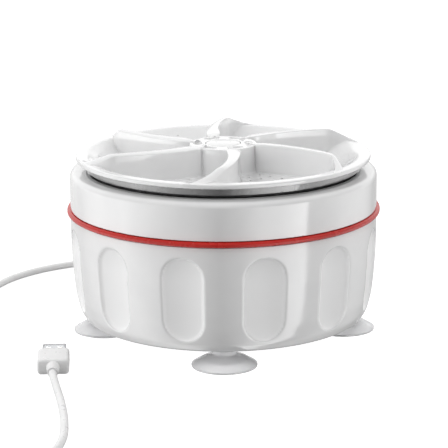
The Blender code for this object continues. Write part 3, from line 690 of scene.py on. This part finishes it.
# Along a blade, by radius: its height, its width, and the level of the floor beside it
RIDGE_TOP = [
    (12.0, 100.8), (12.4, 101.5), (13.2, 102.0), (14.3, 101.9), (15.3, 101.3), (16.4, 101.2), (18.5, 101.7),
    (22.0, 102.0), (59.0, 102.0), (64.0, 101.85), (65.5, 101.4), (71.0, 98.3), (74.2, 96.3), (75.0, 96.0),
]
RIDGE_WIDTH = [
    (12.0, 0.6), (12.4, 2.0), (12.9, 3.0), (13.8, 3.3), (14.8, 2.6), (15.9, 1.9), (16.9, 2.5), (18.5, 4.4),
    (20.5, 6.3), (23.0, 7.0), (28.0, 6.7), (34.0, 5.7), (42.0, 4.9), (52.0, 4.3), (62.0, 3.8), (65.0, 3.9),
    (70.0, 5.2), (75.0, 6.8),
]
FLOOR_LEVEL = [
    (17.0, 100.8), (17.3, 100.7), (17.5, 100.4), (17.62, 99.9), (18.0, 91.0), (18.12, 88.4), (18.4, 87.4),
    (18.9, 87.05), (19.5, 87.0), (57.6, 87.0), (59.2, 87.35), (60.6, 88.2), (69.4, 94.9), (70.6, 95.7),
    (72.0, 96.0), (76.0, 96.0), (76.5, 95.8), (76.7, 95.4),
]

# Each pocket's holes, as a radius and the degrees from the sector's middle line, and those of the cone
POCKET_HOLES = [
    (24, (-9, 9)), (31, (-14, -2, 10)), (38, (-17, -7, 4, 14)), (45, (-12, 0, 12)), (52, (-16, -5, 7)),
]
CONE_HOLE_RADII = (63.0, 66.0)


def ridge_angle(radius):
    """How many degrees a blade is swept round at that radius."""
    beyond = radius - 62
    return -0.33 * beyond - (0.035 * beyond**2 if beyond > 0 else 0)


def blade_section(radius):
    """Offsets across a blade in mm, from its clockwise foot to its other foot, with their heights.

    The land is crowned, with its crest nearer the clockwise edge; both walls are steep.
    """
    floor, top, width = between(FLOOR_LEVEL, radius), between(RIDGE_TOP, radius), between(RIDGE_WIDTH, radius)
    height = max(top - floor, 0.0)
    crown = min(0.9, 0.5 * height)
    edge = min(0.45, 0.3 * height)
    foot = min(0.8, 0.06 * height + 0.05)
    toe = min(0.7, 0.2 * height)
    half = width / 2
    section = []
    for share in (-1.0, -0.86, -0.62, -0.30, 0.05, 0.40, 0.70, 0.90, 1.0):
        lean = share + 0.25
        section.append((half * share, top - crown * (lean / 1.25) ** 2 * (1.0 if share > -0.25 else 0.7)))
    low_edge, high_edge = section[0], section[-1]

    def wall(sign, start):
        x0, z0 = start
        drop = max(z0 - floor, 0.0)
        shoulder, fillet = min(edge, drop), min(toe, 0.3 * drop)
        return [
            (x0 + sign * 0.10 * edge, z0 - 0.35 * shoulder),
            (x0 + sign * 0.22 * edge, z0 - shoulder),
            (x0 + sign * (0.22 * edge + 0.3 * foot), z0 - 0.35 * drop),
            (x0 + sign * (0.22 * edge + 0.6 * foot), z0 - 0.65 * drop),
            (x0 + sign * (0.22 * edge + 0.95 * foot), floor + fillet),
            (x0 + sign * (0.22 * edge + 1.1 * foot + 0.25 * toe), floor + 0.25 * fillet),
            (x0 + sign * (0.22 * edge + 1.2 * foot + 0.8 * toe), floor),
        ]

    left = wall(-1, low_edge)[::-1]
    right = wall(1, high_edge)
    return left + section + right, floor


def impeller_ring(radius):
    """One ring of points of the impeller's top: in each sector a blade's section, then its pocket's floor."""
    section, floor = blade_section(radius)
    first, last = (math.degrees(section[k][0] / radius) for k in (0, -1))
    gap = SECTOR - (last - first)
    ring = []
    for k in range(BLADES):
        middle = FIRST_BLADE + SECTOR * k + ridge_angle(radius)
        ring += [around(radius * MM, middle + math.degrees(x / radius), z * MM) for x, z in section]
        for i in range(POCKET_POINTS):
            share = (i + 1) / (POCKET_POINTS + 1)
            ring.append(around(radius * MM, middle + last + gap * share, floor * MM))
    return ring


def flat_ring(radius, height, like):
    """A ring with the angles of the ring it joins on to, at one height."""
    return [around(radius * MM, math.degrees(math.atan2(y, x)), height * MM) for x, y, _ in like]


def radii():
    """Where the impeller's rings lie: closest together where its shape turns sharply."""
    hub = [
        CAP_RECESS_RADIUS, 9.8, 11.0, 12.0, 12.4, 12.65, 12.9, 13.3, 13.8, 14.3, 14.8, 15.3, 15.9, 16.4,
        16.8, 17.0, 17.3, 17.5, 17.62, 17.75, 17.88, 18.0, 18.12, 18.25, 18.4, 18.65, 18.9, 19.5, 20.5, 22.0,
    ]
    pockets = [24.0 + 1.7 * k for k in range(20)]
    rim = [
        57.6, 58.4, 59.2, 60.0, 60.6, 61.6, 62.6, 63.4, 64.0, 64.6, 65.0, 65.5, 66.3, 67.2, 68.3, 69.4,
        70.0, 70.6, 71.3, 72.0, 72.8, 73.5, 74.2, 74.6, 75.0, 75.5, 76.0, 76.3, 76.5, 76.65, 76.7,
    ]
    return hub + pockets + rim


def drain_holes():
    """Cutters for the holes through the pockets' floors, and for the small blind ones on the cone."""
    holes = []
    for k in range(BLADES):
        for radius, angles in POCKET_HOLES:
            for a in angles:
                spot = around(radius * MM, SECTOR * k + ridge_angle(radius) + a)[:2]
                holes.append(round_bar(0.0008, 0.0830, 0.0890, spot, 10))
        for radius in CONE_HOLE_RADII:
            floor = between(FLOOR_LEVEL, radius) * MM
            for i in (-1, 0, 1):
                spot = around(radius * MM, SECTOR * k + ridge_angle(radius) + 7.0 * i - 65 + radius)[:2]
                holes.append(round_bar(0.00038, floor - 0.0005, floor + 0.001, spot, 8))
    return holes


def hub_recesses():
    """Cutters for the hub's oval dishes, one in each sector, and for its one small hole."""
    ball = lathe([(0, -1), (0.5, -0.866), (0.866, -0.5), (1, 0), (0.866, 0.5), (0.5, 0.866), (0, 1)], 28, 1)
    at = Matrix.Translation(around(0.01320, 0, 0.1009))
    size = Matrix.Diagonal((0.0025, 0.0040, 0.0018, 1))
    cutters = []
    for k in range(BLADES):
        turn = Matrix.Rotation(math.radians(SECTOR * k + 62), 4, "Z")
        cutters.append(moved(ball, turn @ at @ size))
    cutters.append(round_bar(0.0007, 0.0930, 0.1030, around(0.0163, 173)[:2], 14))
    return cutters


def make_impeller():
    rings = [impeller_ring(r) for r in radii()]
    outer, inner = rings[-1], rings[0]
    underside = [
        (76.7, 94.2), (76.5, 93.8), (76.1, 93.6), (73.0, 93.6), (69.9, 93.6), (69.6, 92.1), (60.5, 84.8),
        (45.0, 84.8), (30.0, 84.8), (15.0, 84.8), (8.5, 84.8), (8.5, 80.4), (8.3, 80.2), (3.3, 80.2),
        (3.3, CAP_RECESS_HEIGHT), (CAP_RECESS_RADIUS, CAP_RECESS_HEIGHT),
        (CAP_RECESS_RADIUS, 95.0), (CAP_RECESS_RADIUS, 99.6),
    ]
    for r, z in underside:
        rings.append(flat_ring(r, z, inner if r < 20 else outer))
    impeller = new_object("impeller_shell", *rings_mesh(rings))
    cut(impeller, drain_holes())
    cut(impeller, hub_recesses())
    show(impeller, looks["white_gloss"], "impeller", ("impeller",), sharp=38)


def make_hub_cap():
    profile = rounded([
        (0, 94.5), (8.3, 94.5, 0.3), (9.0, 95.0, 0.3), (9.0, 100.9, 0.6), (7.0, 101.3, 1.2),
        (4.4, 101.6, 0.6), (3.4, 101.2, 0.5), (0, 101.3),
    ], 5, closed=False)
    cap = new_object("hub_button", *lathe(profile, 96))
    show(cap, looks["white_gloss"], "impeller", ("hub_cap",))


# Painted shade: a dark ring placed in the gap under the impeller's rim, where that gap lies in shade
def make_painted_shade_skirt():
    profile = rounded([
        (67.0, 84.0), (69.2, 84.0, 0.4), (69.2, 88.9, 0.3), (71.9, 89.3, 0.4), (71.9, 93.2, 0.2),
        (70.3, 93.2), (69.7, 91.5), (67.0, 89.4),
    ], 6)
    shade_skirt = new_object("painted_shade_ring", *lathe(profile, 224))
    show(shade_skirt, looks["dark_trim"], "impeller", ("impeller_skirt",))


make_impeller()
make_hub_cap()
make_painted_shade_skirt()


# ---------------------------------------------------------------- feet, strain relief, plug

FEET = {"right": 0, "back": 90, "left": 180, "front": 270}
FOOT_CIRCLE = 63.0
RIB_DEPTH, RIB_PITCH = 0.28, 2.2


def make_feet():
    profile = rounded([
        (0, 16.5), (2.5, 16.5, 0.5), (4.2, 15.0, 0.5), (4.2, 12.8), (3.2, 12.8, 0.2), (3.2, 9.3, 0.6),
        (5.8, 8.8, 0.6), (6.4, 6.2, 1.6), (11.5, 4.1, 8), (16.6, 1.0, 0.4), (16.6, 0.0, 0.3),
        (15.1, 0.0, 0.3), (10.0, 2.3, 8), (0, 3.6),
    ], 6, closed=False)
    for name, angle in FEET.items():
        foot = new_object(f"cup_{name}", *lathe(profile, 72))
        place(foot, Matrix.Translation(around(FOOT_CIRCLE * MM, angle)))
        show(foot, looks["soft_clear"], nodes=(f"suction_foot_{name}",))


def make_gland():
    profile = rounded([
        (0, 96.0), (2.6, 96.0, 0.3), (2.95, 95.2), (3.6, 86.0), (4.0, 81.2, 0.3), (5.2, 80.8, 0.3),
        (5.2, 78.9), (3.4, 78.9), (3.4, 70.4), (5.2, 70.4, 0.3), (5.2, 68.0, 0.3), (3.0, 66.6), (0, 66.6),
    ], 3, closed=False)
    ribbed, steps = [], 24
    for (r0, z0), (r1, z1) in zip(profile, profile[1:]):
        ribbed.append((r0, z0))
        if 81.5 < (z0 + z1) / 2 < 95 and abs(z1 - z0) > 2:
            for k in range(1, steps):
                z = z0 + (z1 - z0) * k / steps
                groove = RIB_DEPTH * (0.5 - 0.5 * math.cos(2 * math.pi * z / RIB_PITCH))
                ribbed.append((r0 + (r1 - r0) * k / steps - groove, z))
    ribbed.append(profile[-1])
    gland = new_object("strain_relief", *lathe(ribbed, 48))
    place(gland, Matrix.Translation((0, 0, GLAND_HEIGHT * MM)) @ Matrix.Rotation(-math.pi / 2, 4, "X"))
    show(gland, looks["white_cord"], nodes=("cable_gland",))


def outline(width, height, corner, count=5):
    """An outline of (x, z) with round corners."""
    w, h = width / 2, height / 2
    return rounded([(w, -h, corner), (w, h, corner), (-w, h, corner), (-w, -h, corner)], count)


def lofted(sections, closed=False):
    """Points and faces through (distance, outline) sections along +Y, in mm. See rings_mesh for closed."""
    return rings_mesh([[(x * MM, y * MM, z * MM) for x, z in line] for y, line in sections], closed)


def plug_windows():
    """Cutters for the two windows in the top of the plug's steel."""
    windows = []
    for x in (-2.85, 2.85):
        left, right, near, far = x - 1.15, x + 1.15, 33.8, 36.2
        window = rounded([(right, near, 0.12), (right, far, 0.12), (left, far, 0.12), (left, near, 0.12)], 2)
        levels = [[(a * MM, b * MM, height) for a, b in window] for height in (0.0010, 0.0030)]
        windows.append(rings_mesh(levels, closed=False))
    return windows


def make_plug():
    to_world = Matrix.Translation(PLUG_START) @ Matrix.Rotation(PLUG_TURN, 4, "Z")
    made = []

    def add(name, shape, look, node, cutters=()):
        piece = new_object(name, *shape)
        if cutters:
            cut(piece, cutters)
        place(piece, to_world)
        show(piece, looks[look], nodes=(node,))
        made.append(piece)

    def circle(radius):
        return [around(radius, 360 * k / 32)[:2] for k in range(32)]

    add("plug_neck", lofted([
        (0.3, circle(2.5)), (0.45, circle(2.65)), (3.0, circle(2.9)), (6.0, circle(3.2)), (7.8, circle(3.4)),
        (8.2, circle(3.4)),
    ]), "white_cord", "plug_collar")

    width, height = 15.8, 7.8
    ends = [(8.5, 1.05), (8.6, 0.70), (8.85, 0.40), (9.2, 0.18), (9.7, 0.04), (10.2, 0.0)]
    body = [(y, outline(width - 2 * inset, height - 2 * inset, 1.7)) for y, inset in ends]
    body += [(y, outline(width, height, 1.7)) for y in (14.0, 20.0, 26.0, 27.6)]
    body += [
        (28.1, outline(15.6, 7.6, 1.6)), (28.4, outline(15.2, 7.2, 1.5)), (28.5, outline(14.6, 6.6, 1.3))
    ]
    add("plug_body", lofted(body), "white_cord", "plug_overmould")

    outer, hollow, edge = outline(12.0, 4.5, 0.7), outline(11.4, 3.9, 0.45), outline(11.8, 4.3, 0.6)
    steel = ((28.8, outer), (40.6, outer), (40.8, edge), (40.8, hollow), (28.8, hollow))
    add("plug_steel", lofted(steel, closed=True), "steel", "plug_shell", plug_windows())

    tongue = []
    for y, inset in ((28.8, 0.0), (39.9, 0.0), (40.2, 0.2)):
        section = outline(10.6 - 2 * inset, 1.8 - 2 * inset, 0.25, 2)
        tongue.append((y, [(x, z - 0.7) for x, z in section]))
    add("plug_insulator", lofted(tongue), "white_satin", "plug_tongue")
    for k in range(4):
        middle = 2.4 * (k - 1.5)
        strip = [(middle + x, z + 0.68) for x, z in outline(1.2, 0.34, 0.08, 2)]
        dipped = [(x, z - 0.05) for x, z in strip]
        contact = lofted([(29.6, strip), (38.5, strip), (38.8, dipped)])
        add(f"plug_strip_{k + 1}", contact, "gold", f"plug_contact_{k + 1}")
    return made


make_feet()
make_gland()
plug_pieces = make_plug()
# The casing's gloss would show the lead and the plug as stray dark shapes
for piece in (lead, *plug_pieces):
    piece.visible_glossy = False
